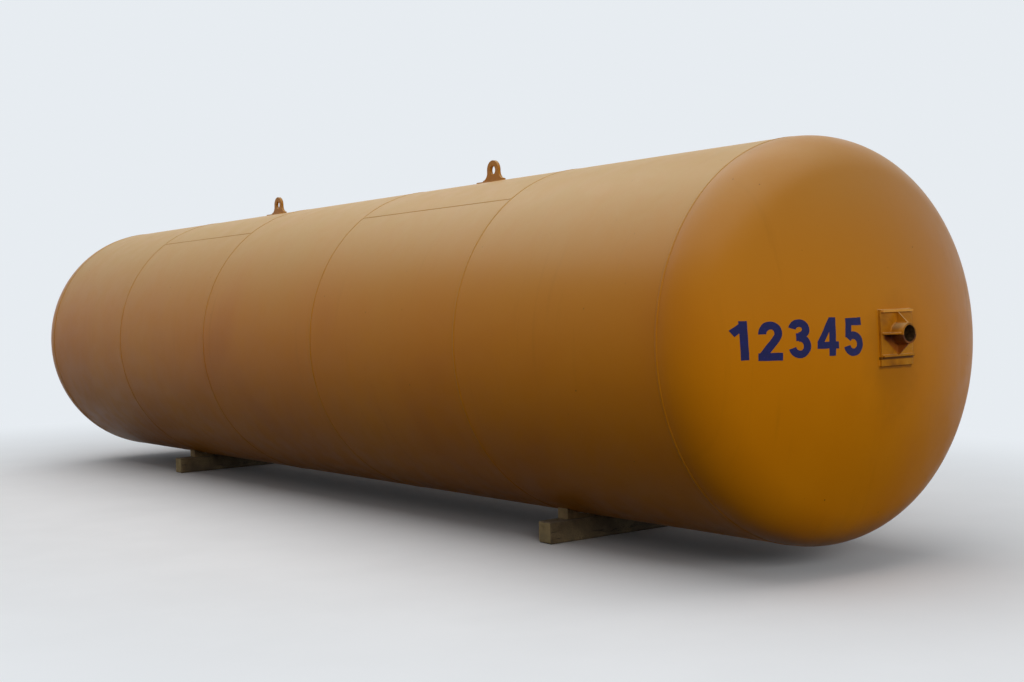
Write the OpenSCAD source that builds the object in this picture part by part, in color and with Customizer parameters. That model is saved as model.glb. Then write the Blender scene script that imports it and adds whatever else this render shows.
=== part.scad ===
// Horizontal pressure tank: a rolled shell of five courses between dished heads,
// a ribbed nozzle on the front head, two lifting lugs on the crown, and two
// timber sleepers with wedges that carry it. The long axis lies along Y, the
// nozzle faces -Y, and the sleepers rest on z = 0.

/* [Tank] */
// outside diameter of the shell and of both heads
tank_d = 2400; // [2000:50:3000]
// width of one rolled shell course
course_w = 2000; // [1500:50:2500]
// wall of the shell courses
shell_t = 14; // [8:1:24]
// wall of the dished heads
head_t = 16; // [8:1:28]
// straight flange of a head, between its weld and its knuckle
head_flange = 40; // [20:5:80]
// crown radius of a head, as a share of the diameter
crown_share = 0.9; // [0.8:0.05:1.0]
// knuckle radius of a head, as a share of the diameter
knuckle_share = 0.17; // [0.1:0.01:0.2]

/* [Welds] */
// width of a weld bead
bead_w = 22; // [12:1:30]
// height of a weld bead over the plate
bead_h = 3.5; // [2:0.5:6]
// angle of the lengthwise seams from the crown, taken left and right in turn
seam_angle = 35; // [20:1:60]

/* [Nozzle] */
// outside diameter of the nozzle pipe
pipe_d = 114; // [60:1:220]
// wall of the nozzle pipe
pipe_t = 12; // [4:0.5:16]
// how far the pipe stands out of the head's tip
pipe_reach = 96; // [60:1:250]
// length of the pipe's end that the ribs leave free
pipe_free = 8; // [4:1:60]
// how far the pipe runs on inside the head
pipe_inside = 40; // [0:5:120]
// height of the nozzle over the tank's axis
nozzle_rise = 45; // [0:5:400]
// width of the doubler plate
pad_w = 268; // [200:2:400]
// height of the doubler plate above the nozzle's axis
pad_up = 132; // [100:2:300]
// height of the doubler plate below the nozzle's axis
pad_down = 178; // [100:2:300]
// thickness of the doubler plate
pad_t = 14; // [6:1:24]
// thickness of the ribs
rib_t = 9; // [5:1:16]
// reach of a rib from the nozzle's axis
rib_reach = 124; // [80:2:260]
// depth of a rib where it ends on the doubler plate
rib_toe = 8; // [5:1:40]
// depth of the two ledges, measured out of the doubler plate
ledge_d = 10; // [5:1:60]
// thickness of the ledges
ledge_t = 13; // [5:1:20]
// how far a ledge stops short of the doubler plate's edge, on each side
ledge_inset = 9; // [0:1:60]

/* [Lifting lugs] */
// distance of a lug from the nearest head weld
lug_inset = 3180; // [1000:20:4500]
// thickness of a lug
lug_t = 25; // [12:1:40]
// radius of a lug's round head
lug_head_r = 75; // [50:1:120]
// height of the lug's eye over its pad
lug_eye_z = 85; // [50:1:150]
// diameter of the lug's eye
lug_eye_d = 66; // [30:1:90]
// length of a lug's foot
lug_foot = 270; // [180:5:400]
// height of the foot's square edge
lug_foot_h = 14; // [6:1:30]
// length of a lug pad
lug_pad_l = 330; // [200:5:500]
// width of a lug pad
lug_pad_w = 130; // [80:5:260]
// thickness of a lug pad
lug_pad_t = 12; // [6:1:20]
// corner radius of a lug pad
lug_pad_corner = 30; // [5:1:60]

/* [Sleepers] */
// length of a sleeper, across the tank
sleeper_l = 1200; // [1000:50:2600]
// width of a sleeper
sleeper_w = 140; // [100:5:260]
// height of a sleeper
sleeper_h = 150; // [100:5:260]
// distance of a sleeper's middle from the nearest head weld
sleeper_inset = 1880; // [600:20:3500]
// how deep the tank beds into the timber
bedding = 6; // [2:1:20]
// how far from the axis a wedge begins
wedge_start = 210; // [120:10:400]
// length of a wedge
wedge_l = 230; // [120:10:400]
// width of a wedge
wedge_w = 110; // [60:5:200]
// play between the timber and the steel
timber_gap = 0.3; // [0.1:0.1:1]

/* [Hidden] */
$fn = 96;
fine = 400;
eps = 1;
course_count = 5;

tank_r = tank_d / 2;
axis_z = sleeper_h - bedding + tank_r;
half_shell = course_count * course_w / 2;

crown_r = crown_share * tank_d;
knuckle_r = knuckle_share * tank_d;
knuckle_x = tank_r - knuckle_r;
crown_drop = sqrt(pow(crown_r - knuckle_r, 2) - pow(knuckle_x, 2));
dish_depth = crown_r - crown_drop;
join_angle = asin(knuckle_x / (crown_r - knuckle_r));
head_depth = head_flange + dish_depth;

pipe_r = pipe_d / 2;
fit_gap = 0.3;
drill_inside = 300;
shift_y = pipe_reach / 2;
front_tip = -half_shell - head_depth;
crown_mid = front_tip + crown_r;
nozzle_z = axis_z + nozzle_rise;
pad_out_r = crown_r + pad_t;
plate_y = front_tip - pad_t;
// how far the crown falls back at the doubler plate's furthest corner
plate_edge = max(nozzle_rise + pad_up, pad_down - nozzle_rise);
plate_sag = crown_r - sqrt(pow(crown_r, 2) - pow(plate_edge, 2) - pow(pad_w / 2, 2));
pipe_tip = front_tip - pipe_reach;

lug_y = half_shell - lug_inset;
lug_base_z = axis_z + tank_r + lug_pad_t;
lug_flare_r = lug_foot / 2 - lug_head_r;

sleeper_y = half_shell - sleeper_inset;
wedge_h = axis_z - sqrt(pow(tank_r, 2) - pow(wedge_start + wedge_l, 2)) - sleeper_h;

paint = "#d8931c";
timber = "#7a6448";
wedge_wood = "#94795a";

// everything is drawn about the tank's middle, then shifted so that the nozzle counts in the length
module placed() {
    translate([0, shift_y, 0]) children();
}

// turns a shape drawn about Z so that it runs along the tank from y onwards
module along_tank(y) {
    translate([0, y, axis_z]) rotate([-90, 0, 0]) children();
}

// half outline of a dished head, inset from its outer face
module dish_outline(inset) {
    crown_in = crown_r - inset;
    join_x = crown_in * sin(join_angle);
    join_z = crown_in * cos(join_angle) - crown_drop;
    translate([0, -head_flange - inset]) square([tank_r - inset, head_flange + inset]);
    square([join_x, join_z]);
    intersection() {
        translate([knuckle_x, 0]) circle(knuckle_r - inset);
        square([tank_r, join_z]);
    }
    intersection() {
        translate([0, -crown_drop]) circle(crown_in);
        translate([0, join_z]) square([join_x, dish_depth]);
    }
}

// a dished head that opens at z = 0 and closes upwards
module dished_head() {
    translate([0, 0, head_flange]) rotate_extrude() difference() {
        dish_outline(0);
        dish_outline(head_t);
    }
}

module rear_head() {
    color(paint) placed() along_tank(half_shell) dished_head();
}

module front_head() {
    color(paint) placed() difference() {
        mirror([0, 1, 0]) along_tank(half_shell) dished_head();
        nozzle_bar(pipe_r + fit_gap, drill_inside);
    }
}

// a rolled course; the first one starts at the front head
module shell_course(i) {
    color(paint) placed() along_tank(-half_shell + i * course_w) difference() {
        cylinder(h = course_w, r = tank_r);
        translate([0, 0, -eps]) cylinder(h = course_w + 2 * eps, r = tank_r - shell_t);
    }
}

// cross-section of a weld bead, its foot on the line y = 0
module bead_outline() {
    bead_r = (pow(bead_w / 2, 2) + pow(bead_h, 2)) / (2 * bead_h);
    intersection() {
        translate([0, bead_h - bead_r]) circle(bead_r);
        translate([-bead_w / 2, 0]) square([bead_w, bead_h]);
    }
}

// bead round the tank at the seam after the given number of courses
module girth_weld(i) {
    color(paint) placed() along_tank(-half_shell + i * course_w)
        rotate_extrude() translate([tank_r, 0]) rotate(-90) bead_outline();
}

// bead along a course, right and left of the crown in turn
module long_weld(i) {
    side = i % 2 == 0 ? 1 : -1;
    color(paint) placed() along_tank(-half_shell + i * course_w + bead_w / 2)
        rotate(side * seam_angle) translate([0, -tank_r, 0]) rotate(180)
            linear_extrude(course_w - bead_w) bead_outline();
}

// a round bar on the nozzle's axis, from the pipe's tip to the given depth inside the head
module nozzle_bar(r, inside) {
    translate([0, pipe_tip, nozzle_z]) rotate([-90, 0, 0]) cylinder(h = pipe_reach + inside, r = r);
}

// the ball whose surface is the head's crown, or a plate's face that follows it, its pole at the head's tip
module crown_ball(r) {
    translate([0, crown_mid, axis_z]) rotate([90, 0, 0]) sphere(r, $fn = fine);
}

module nozzle_pipe() {
    color(paint) placed() difference() {
        nozzle_bar(pipe_r, pipe_inside);
        translate([0, -eps, 0]) nozzle_bar(pipe_r - pipe_t, pipe_inside + 2 * eps);
    }
}

module nozzle_pad() {
    color(paint) placed() difference() {
        intersection() {
            crown_ball(pad_out_r);
            translate([-pad_w / 2, plate_y - eps, nozzle_z - pad_down])
                cube([pad_w, pad_t + plate_sag + 2 * eps, pad_up + pad_down]);
        }
        crown_ball(crown_r);
        nozzle_bar(pipe_r + fit_gap, drill_inside);
    }
}

// outline of a rib, as its reach from the nozzle's axis and its place along the tank
function rib_points(toe_x) = [
    [pipe_r + fit_gap, pipe_tip + pipe_free],
    [toe_x, plate_y - rib_toe],
    [toe_x, plate_y + plate_sag],
    [pipe_r + fit_gap, plate_y + plate_sag]
];

module side_rib(side) {
    color(paint) placed() difference() {
        mirror([side < 0 ? 1 : 0, 0, 0]) translate([0, 0, nozzle_z - rib_t / 2])
            linear_extrude(rib_t) polygon(rib_points(rib_reach));
        crown_ball(pad_out_r);
    }
}

// an upright rib runs out to a ledge
module upright_rib(side) {
    color(paint) placed() difference() {
        translate([rib_t / 2, 0, nozzle_z]) rotate([0, side < 0 ? 90 : -90, 0])
            translate([0, 0, side < 0 ? -rib_t : 0])
                linear_extrude(rib_t) polygon(rib_points(rib_reach - ledge_t / 2));
        crown_ball(pad_out_r);
    }
}

// a level flat bar on the doubler plate, above the nozzle (1) or below it (-1)
module ledge(side) {
    ledge_w = pad_w - 2 * ledge_inset;
    color(paint) placed() difference() {
        translate([-ledge_w / 2, plate_y - ledge_d, nozzle_z + side * rib_reach - ledge_t / 2])
            cube([ledge_w, ledge_d + plate_sag, ledge_t]);
        crown_ball(pad_out_r);
    }
}

// outline of a lug: a round head on a neck that flares into its foot
module lug_outline() {
    flare_z = lug_foot_h + lug_flare_r;
    difference() {
        union() {
            translate([0, lug_eye_z]) circle(lug_head_r);
            translate([-lug_head_r, 0]) square([2 * lug_head_r, lug_eye_z]);
            translate([-lug_foot / 2, 0]) square([lug_foot, flare_z]);
        }
        for (side = [-1, 1]) translate([side * lug_foot / 2, flare_z]) circle(lug_flare_r);
        translate([0, lug_eye_z]) circle(lug_eye_d / 2);
    }
}

module lug(y) {
    color(paint) placed() translate([-lug_t / 2, y, lug_base_z])
        rotate([90, 0, 90]) linear_extrude(lug_t) lug_outline();
}

// outline of a lug pad, a rectangle with round corners
module lug_pad_outline() {
    corner_x = lug_pad_w / 2 - lug_pad_corner;
    corner_y = lug_pad_l / 2 - lug_pad_corner;
    square([2 * corner_x, lug_pad_l], center = true);
    square([lug_pad_w, 2 * corner_y], center = true);
    for (x = [-corner_x, corner_x], y = [-corner_y, corner_y]) translate([x, y]) circle(lug_pad_corner);
}

module lug_pad(y) {
    color(paint) placed() intersection() {
        along_tank(y - lug_pad_l / 2) difference() {
            cylinder(h = lug_pad_l, r = tank_r + lug_pad_t);
            translate([0, 0, -eps]) cylinder(h = lug_pad_l + 2 * eps, r = tank_r);
        }
        translate([0, y, axis_z]) linear_extrude(tank_d) lug_pad_outline();
    }
}

// the tank's outside plus the timber's play, over a length around y
module timber_cut(y) {
    along_tank(y - sleeper_w) cylinder(h = 2 * sleeper_w, r = tank_r + timber_gap, $fn = fine);
}

module sleeper(y) {
    color(timber) placed() difference() {
        translate([-sleeper_l / 2, y - sleeper_w / 2, 0]) cube([sleeper_l, sleeper_w, sleeper_h]);
        timber_cut(y);
    }
}

// a wedge on the sleeper, to the right (1) or left (-1) of the tank's lowest line
module wedge(y, side) {
    color(wedge_wood) placed() mirror([side < 0 ? 1 : 0, 0, 0]) difference() {
        translate([wedge_start, y - wedge_w / 2, sleeper_h]) cube([wedge_l, wedge_w, wedge_h + eps]);
        timber_cut(y);
    }
}

front_head();
rear_head();
shell_course(0);  // shell_course_1
shell_course(1);  // shell_course_2
shell_course(2);  // shell_course_3
shell_course(3);  // shell_course_4
shell_course(4);  // shell_course_5
girth_weld(0);  // front_head_weld
girth_weld(1);  // girth_weld_1
girth_weld(2);  // girth_weld_2
girth_weld(3);  // girth_weld_3
girth_weld(4);  // girth_weld_4
girth_weld(5);  // rear_head_weld
long_weld(0);  // long_weld_1
long_weld(1);  // long_weld_2
long_weld(2);  // long_weld_3
long_weld(3);  // long_weld_4
long_weld(4);  // long_weld_5
nozzle_pipe();
nozzle_pad();
upright_rib(1);  // nozzle_rib_top
upright_rib(-1);  // nozzle_rib_bottom
side_rib(-1);  // nozzle_rib_left
side_rib(1);  // nozzle_rib_right
ledge(1);  // nozzle_ledge_top
ledge(-1);  // nozzle_ledge_bottom
lug(-lug_y);  // front_lug
lug_pad(-lug_y);  // front_lug_pad
lug(lug_y);  // rear_lug
lug_pad(lug_y);  // rear_lug_pad
sleeper(-sleeper_y);  // front_sleeper
sleeper(sleeper_y);  // rear_sleeper
wedge(-sleeper_y, -1);  // front_wedge_left
wedge(-sleeper_y, 1);  // front_wedge_right
wedge(sleeper_y, -1);  // rear_wedge_left
wedge(sleeper_y, 1);  // rear_wedge_right
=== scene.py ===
from functools import partial
from math import asin, copysign, cos, pi, radians, sin, sqrt

import bmesh
import bpy
from mathutils import Matrix, Vector, noise


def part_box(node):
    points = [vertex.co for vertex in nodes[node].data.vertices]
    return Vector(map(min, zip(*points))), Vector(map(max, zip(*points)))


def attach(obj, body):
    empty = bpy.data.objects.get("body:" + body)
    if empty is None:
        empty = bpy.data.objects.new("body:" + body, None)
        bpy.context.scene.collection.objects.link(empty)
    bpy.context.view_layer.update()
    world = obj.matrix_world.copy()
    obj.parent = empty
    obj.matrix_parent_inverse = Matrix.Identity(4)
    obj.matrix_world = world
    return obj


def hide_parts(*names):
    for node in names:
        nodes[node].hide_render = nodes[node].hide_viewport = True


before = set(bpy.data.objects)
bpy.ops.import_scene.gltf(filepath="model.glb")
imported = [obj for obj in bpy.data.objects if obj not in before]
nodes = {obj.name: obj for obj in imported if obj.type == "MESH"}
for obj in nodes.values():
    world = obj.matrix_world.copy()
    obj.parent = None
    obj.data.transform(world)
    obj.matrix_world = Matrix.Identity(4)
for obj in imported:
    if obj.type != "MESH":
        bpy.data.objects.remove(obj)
scene = bpy.context.scene
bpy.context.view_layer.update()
print("frame loaded:", len(nodes), "nodes")

# the tank's own sizes in metres, as the frame has them, and the long seams' degrees from the crown
tank = {
    "radius": 1.2,
    "axisHeight": 1.344,
    "frontWeld": -4.952,
    "courseWidth": 2.0,
    "courseCount": 5,
    "shellWall": 0.014,
    "headWall": 0.016,
    "flange": 0.040,
    "crownRadius": 2.16,
    "knuckleRadius": 0.408,
    "seamAngle": 35.0,
    "nozzleHeight": 1.389,
    "beadWidth": 0.022,
}
tank["rearWeld"] = tank["frontWeld"] + tank["courseCount"] * tank["courseWidth"]
tank["knuckleCentre"] = tank["radius"] - tank["knuckleRadius"]
tank["knuckleArm"] = tank["crownRadius"] - tank["knuckleRadius"]
tank["crownDrop"] = sqrt(tank["knuckleArm"] ** 2 - tank["knuckleCentre"] ** 2)
tank["frontTip"] = tank["frontWeld"] - tank["flange"] - tank["crownRadius"] + tank["crownDrop"]
tank["crownCentre"] = tank["frontTip"] + tank["crownRadius"]


# node helpers, the same for shaders and for geometry: a node goes into the tree of what feeds it

def feed(socket, value):  # links a socket, or sets a plain value
    if isinstance(value, bpy.types.NodeSocket):
        socket.id_data.links.new(value, socket)
    elif value is not None:
        socket.default_value = value


def addNode(kind, sockets=None, tree=None, **settings):
    sockets = sockets or {}
    if tree is None:
        tree = next(value.id_data for value in sockets.values() if isinstance(value, bpy.types.NodeSocket))
    node = tree.nodes.new(kind)
    for name, value in settings.items():
        setattr(node, name, value)
    for name, value in sockets.items():
        feed(node.inputs[name], value)
    return node


def calc(operation, *values, clamp=False):
    sockets = dict(enumerate(values))
    return addNode("ShaderNodeMath", sockets, operation=operation, use_clamp=clamp).outputs[0]


plus = partial(calc, "ADD")
minus = partial(calc, "SUBTRACT")
times = partial(calc, "MULTIPLY")
timesPlus = partial(calc, "MULTIPLY_ADD")
larger = partial(calc, "MAXIMUM")
smaller = partial(calc, "MINIMUM")
sizeOf = partial(calc, "ABSOLUTE")


def diagonal(first, second):  # the root of the two squares
    return calc("SQRT", plus(calc("POWER", first, 2.0), calc("POWER", second, 2.0)))


def vectorCalc(operation, first, second=None, scale=None):
    node = addNode("ShaderNodeVectorMath", {0: first, 1: second, 3: scale}, operation=operation)
    return node.outputs["Value" if operation in ("LENGTH", "DOT_PRODUCT") else "Vector"]


def partsOf(vector):
    return addNode("ShaderNodeSeparateXYZ", {"Vector": vector}).outputs


def joined(x, y, z=0.0):
    return addNode("ShaderNodeCombineXYZ", {"X": x, "Y": y, "Z": z}).outputs[0]


def spread(value, low, high, toLow=0.0, toHigh=1.0):  # a smooth step, also with low above high
    return addNode("ShaderNodeMapRange", {
        "Value": value, "From Min": low, "From Max": high, "To Min": toLow, "To Max": toHigh},
        interpolation_type="SMOOTHSTEP").outputs["Result"]


def blendColour(mask, under, over, mode="MIX"):
    sockets = {0: mask, 6: under, 7: over}
    return addNode("ShaderNodeMix", sockets, data_type="RGBA", blend_type=mode).outputs[2]


def cloudy(vector, scale, detail=4.0, rough=0.55, twist=0.0):
    sockets = {"Vector": vector, "Scale": scale, "Detail": detail, "Roughness": rough, "Distortion": twist}
    return addNode("ShaderNodeTexNoise", sockets).outputs[0]


def ragged(vector, scale, width, detail=4.0):  # wanders by half the width to either side
    return timesPlus(cloudy(vector, scale, detail), width, -width / 2)


def shaken(vector, scale, detail, reach):  # the vector, pushed about by a coloured cloud
    cloud = addNode("ShaderNodeTexNoise", {"Vector": vector, "Scale": scale, "Detail": detail})
    return vectorCalc("ADD", vector, vectorCalc("SCALE", cloud.outputs["Color"], scale=reach))


def facing(vector):  # the surface's normal, in the tree of the given vector
    return addNode("ShaderNodeNewGeometry", tree=vector.id_data).outputs["Normal"]


def colour(red, green, blue):  # from the usual 0 to 255 values
    shares = [value / 255 for value in (red, green, blue)]
    return (*(part / 12.92 if part <= 0.04045 else ((part + 0.055) / 1.055) ** 2.4 for part in shares), 1.0)


# wanted and given: socket names with a kind, or with a number as the default
def makeGroup(name, wanted, given, build, kind="ShaderNodeTree"):
    tree = bpy.data.node_groups.new(name, kind)
    for way, sockets in (("INPUT", wanted), ("OUTPUT", given)):
        for label, value in sockets.items():
            isKind = isinstance(value, str)
            kindName = "NodeSocket" + (value if isKind else type(value).__name__.capitalize())
            socket = tree.interface.new_socket(name=label, in_out=way, socket_type=kindName)
            if not isKind:
                socket.default_value = value
    made = build(addNode("NodeGroupInput", tree=tree).outputs)
    addNode("NodeGroupOutput", dict(zip(given, made)))
    return tree


def placeGroup(group, sockets):
    return addNode("ShaderNodeGroup", sockets, node_tree=group).outputs


# what the finishes share

def toneNodes(entry):  # uneven spraying: large patches and a fine mottle
    patches = cloudy(entry["Vector"], entry["Patch scale"], 3.0, 0.5, 0.4)
    fine = cloudy(entry["Vector"], times(entry["Patch scale"], 14.0), 5.0, 0.6)
    lightened = blendColour(spread(patches, 0.45, 0.72), entry["Colour"], entry["Light colour"])
    darkened = blendColour(spread(patches, 0.5, 0.25), lightened, entry["Dark colour"])
    mottled = times(spread(fine, 0.42, 0.7), entry["Mottle"])
    return blendColour(mottled, darkened, entry["Dark colour"]), patches


def dustNodes(entry):  # fine dust lies where the surface faces up; on the enamel it also stands for a painted sheen on the crown
    lying = spread(partsOf(facing(entry["Vector"]))["Z"], entry["Steepest"], 1.0)
    patches = spread(cloudy(entry["Vector"], entry["Patch scale"], 6.0, 0.65, 0.3), 0.25, 0.75, 0.55)
    return [times(times(lying, patches), entry["Amount"], clamp=True)]


def runNodes(entry):  # rain runs, given the way across the flow and along it
    across = times(entry["Across"], entry["Runs a metre"])
    flow = times(times(entry["Along"], entry["Runs a metre"]), entry["Stretch"])
    runs = spread(cloudy(joined(across, flow), 1.0, 5.0, 0.62, 0.15), 0.54, 0.76)
    wide = joined(entry["Across"], times(entry["Along"], 0.6), 3.7)
    broken = spread(cloudy(wide, 1.6, 2.0, 0.5), 0.38, 0.62)
    return [times(times(runs, broken), entry["Amount"], clamp=True)]


def mudNodes(entry):  # splashes that thin out with height over the ground
    low = spread(calc("DIVIDE", partsOf(entry["Vector"])["Z"], entry["Reach"]), 1.0, 0.0)
    drops = addNode("ShaderNodeTexVoronoi", {"Vector": entry["Vector"], "Scale": entry["Drops a metre"]})
    dropSize = spread(cloudy(entry["Vector"], 9.0, 3.0, 0.6), 0.45, 0.75, 0.02, 0.42)
    drop = spread(minus(times(dropSize, low), drops.outputs["Distance"]), -0.04, 0.04)
    film = times(low, spread(cloudy(entry["Vector"], 4.0, 6.0, 0.7), 0.35, 0.7))
    return [times(mask, entry["Amount"], clamp=True) for mask in (drop, film)]


def skinNodes(entry):  # rolled plate under sprayed enamel: slow waves, then orange peel
    wave = times(cloudy(entry["Vector"], entry["Wave scale"], 2.0, 0.45), entry["Wave depth"])
    peel = times(cloudy(entry["Vector"], entry["Peel scale"], 2.0, 0.5), entry["Peel depth"])
    return [plus(wave, peel)]


def chipNodes(entry):  # worn edges and chips, from how far the rounded normal turns away
    flat = facing(entry["Vector"])
    rounded = addNode("ShaderNodeBevel", {"Radius": entry["Reach"]}, samples=6)
    turn = minus(1.0, vectorCalc("DOT_PRODUCT", flat, rounded.outputs["Normal"]))
    chips = cloudy(entry["Vector"], entry["Chip scale"], 6.0, 0.65)
    return [spread(timesPlus(spread(turn, 0.01, 0.16), entry["Amount"], chips), 0.78, 0.9)]


def prickNodes(entry):  # small pinpricks of rust
    spotted = shaken(entry["Vector"], 220.0, 4.0, 0.014)
    cells = addNode("ShaderNodeTexVoronoi", {"Vector": spotted, "Scale": entry["Spots a metre"]}).outputs
    odd = addNode("ShaderNodeSeparateColor", {"Color": cells["Color"]}).outputs
    chosen = spread(minus(entry["Amount"], odd[0]), 0.0, 0.05)
    reach = timesPlus(calc("POWER", odd[1], 2.0), 0.12, 0.03)
    return [times(chosen, spread(minus(cells["Distance"], reach), 0.03, -0.03))]


def grainNodes(entry):  # sawn timber with its grain along X
    def stretched(*factors):
        return vectorCalc("MULTIPLY", entry["Vector"], factors)

    place = partsOf(shaken(stretched(0.12, 1.0, 1.0), 9.0, 3.0, 0.035))
    rings = times(diagonal(place["Y"], place["Z"]), entry["Rings a metre"])
    late = spread(calc("FRACT", rings), 0.35, 0.95)
    fibre = cloudy(stretched(14.0, 380.0, 380.0), 1.0, 4.0, 0.7)
    split = cloudy(stretched(3.2, 60.0, 60.0), 1.0, 3.0, 0.6, 0.3)
    rare = spread(cloudy(stretched(1.5, 20.0, 20.0), 1.0), 0.48, 0.6)
    cracks = times(spread(sizeOf(minus(split, 0.5)), 0.022, 0.004), rare)
    height = timesPlus(fibre, entry["Fibre depth"], times(late, entry["Ring depth"]))
    return late, cracks, minus(height, times(cracks, entry["Crack depth"]))


maskOnly = {"Mask": "Float"}
unevenTone = makeGroup("unevenTone", {
    "Vector": "Vector", "Colour": "Color", "Light colour": "Color", "Dark colour": "Color",
    "Patch scale": 1.0, "Mottle": 0.2}, {"Colour": "Color", "Patches": "Float"}, toneNodes)
settledDust = makeGroup("settledDust", {
    "Vector": "Vector", "Amount": 0.5, "Patch scale": 3.0, "Steepest": 0.2}, maskOnly, dustNodes)
rainRuns = makeGroup("rainRuns", {
    "Across": 0.0, "Along": 0.0, "Runs a metre": 14.0, "Stretch": 0.06, "Amount": 0.5}, maskOnly, runNodes)
splashedMud = makeGroup("splashedMud", {
    "Vector": "Vector", "Reach": 0.6, "Drops a metre": 55.0, "Amount": 0.6},
    {"Mask": "Float", "Film": "Float"}, mudNodes)
sprayedSkin = makeGroup("sprayedSkin", {
    "Vector": "Vector", "Wave scale": 2.2, "Wave depth": 0.0006, "Peel scale": 260.0,
    "Peel depth": 0.00003}, {"Height": "Float"}, skinNodes)
wornEdges = makeGroup("wornEdges", {
    "Vector": "Vector", "Reach": 0.004, "Chip scale": 60.0, "Amount": 0.5}, maskOnly, chipNodes)
rustPricks = makeGroup("rustPricks", {
    "Vector": "Vector", "Spots a metre": 30.0, "Amount": 0.2}, maskOnly, prickNodes)
sawnGrain = makeGroup("sawnGrain", {
    "Vector": "Vector", "Rings a metre": 130.0, "Ring depth": 0.0003, "Fibre depth": 0.0007,
    "Crack depth": 0.003}, {"Late wood": "Float", "Cracks": "Float", "Height": "Float"}, grainNodes)
print("shared finishes ready")

# the enamel: one recipe, and below it what each material changes; lengths in metres
enamelLook = {
    "flow": "down",
    "seams": "none",
    "colour": colour(214, 130, 7),
    "lightColour": colour(220, 137, 12),
    "darkColour": colour(205, 121, 5),
    # lighter towards the top: sun-bleached enamel, and a painted sheen of the sky on the upper side
    "bleachedAndSheen": colour(190, 134, 44),
    "bleachAndSheenHeights": (-0.2, 1.05),
    "bleachAndSheenCloud": 0.5,
    "patchScale": 0.7,
    "mottle": 0.10,
    "gloss": (0.28, 0.41),
    "dullness": 0.4,
    "coat": (0.02, 0.44),
    "coatHeights": (-0.8, 0.9),
    "coatLoss": 0.6,
    "coatGloss": 0.34,
    "underSheen": 0.03,
    "sheenTint": colour(255, 214, 158),
    # pale dust on up-facing paint, which also paints the sky's sheen on the crown
    "dust": colour(200, 182, 138),
    "dustAmount": 0.5,
    "dustScale": 3.0,
    "grime": colour(120, 76, 14),
    # dark colour of the painted shadows under the lower ledge and under the pad's foot
    "paintedShade": colour(84, 46, 8),
    "runAmount": 0.09,
    "seamGrime": 0.11,
    "seamReach": (0.024, 0.010),
    "wander": 0.02,
    "pullReach": (0.12, 0.02),
    "pucker": 0.0030,
    "puckerScale": (4.0, 17.0, 4.0),
    "mud": colour(96, 84, 68),
    "mudAmount": 0.4,
    "mudReach": 0.42,
    "mudDepth": 0.0006,
    "rustDepth": 0.0002,
    "rust": colour(84, 42, 18),
    "spotAmount": 0.05,
    "chipAmount": 0.0,
    "chipReach": 0.004,
    "waveDepth": 0.0011,
    "peelDepth": 0.000025,
    "dripsAndShade": 0.0,
    "stain": 0.0,
    "bore": False,
}
# rust stains and painted shade below the pipe and ribs, and a painted shadow under the lower ledge
dripAndShadeLook = {"widest": 0.116, "start": 0.148, "narrowing": -1.2, "ragged": 0.03, "edge": (-0.006, 0.022),
            "top": (0.004, 0.008), "darkDrop": (0.075, 0.02), "wash": 0.7, "dark": 0.93,
            "rustAndShadeWash": colour(142, 66, 34), "rustAndShadeDark": colour(60, 22, 14), "ledgeDrop": 0.134,
            "ledgeReach": (0.0105, 0.005), "ledgeShade": 0.85}
# a duller patch round the nozzle; the foot entries place a painted shadow under the pad's lower edge
stainAndShadeLook = {"rise": 0.02, "drawnOut": 0.55, "reach": (0.30, 0.12), "ragged": 0.16, "footHeight": 1.205,
             "footReach": (0.015, 0.003), "footHalf": (0.145, 0.125), "footShade": 0.5}
boreLook = {"edge": (0.0515, 0.0485), "ragged": 0.006, "rough": 0.45, "light": colour(86, 62, 38),
            "dark": colour(46, 30, 18)}


def emptyTree(holder):  # of a material or a world
    holder.use_nodes = True
    holder.node_tree.nodes.clear()
    return holder.node_tree


def startMaterial(name):
    material = bpy.data.materials.new(name)
    tree = emptyTree(material)
    shader = addNode("ShaderNodeBsdfPrincipled", tree=tree)
    addNode("ShaderNodeOutputMaterial", {"Surface": shader.outputs[0]})
    return material, shader, addNode("ShaderNodeTexCoord", tree=tree).outputs["Object"]


def finishShader(shader, base, rough, height, others=None):  # height in metres
    bump = addNode("ShaderNodeBump", {"Strength": 1.0, "Distance": 1.0, "Height": height})
    sockets = {"Base Color": base, "Roughness": rough, "Normal": bump.outputs[0], **(others or {})}
    for name, value in sockets.items():
        feed(shader.inputs[name], value)


def paintOver(base, layers):  # layers: how far each covers, and its colour
    for covered, over in layers:
        base = blendColour(covered, base, over)
    return base


def toneOn(vector, look):
    return placeGroup(unevenTone, {
        "Vector": vector, "Colour": look["colour"], "Light colour": look["lightColour"],
        "Dark colour": look["darkColour"], "Patch scale": look["patchScale"], "Mottle": look["mottle"]})


def dustOn(vector, look):
    sockets = {"Vector": vector, "Amount": look["dustAmount"], "Patch scale": look["dustScale"]}
    return placeGroup(settledDust, sockets)["Mask"]


def mudOn(vector, look):  # the drops, and the drops with their film
    sockets = {"Vector": vector, "Reach": look["mudReach"], "Amount": look["mudAmount"]}
    mud = placeGroup(splashedMud, sockets)
    return mud["Mask"], larger(mud["Mask"], mud["Film"])


def skinOn(vector, look):
    sockets = {"Vector": vector, "Wave depth": look["waveDepth"], "Peel depth": look["peelDepth"]}
    return placeGroup(sprayedSkin, sockets)["Height"]


def chipsOn(vector, look):
    sockets = {"Vector": vector, "Reach": look["chipReach"], "Amount": look["chipAmount"]}
    return placeGroup(wornEdges, sockets)["Mask"]


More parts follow.
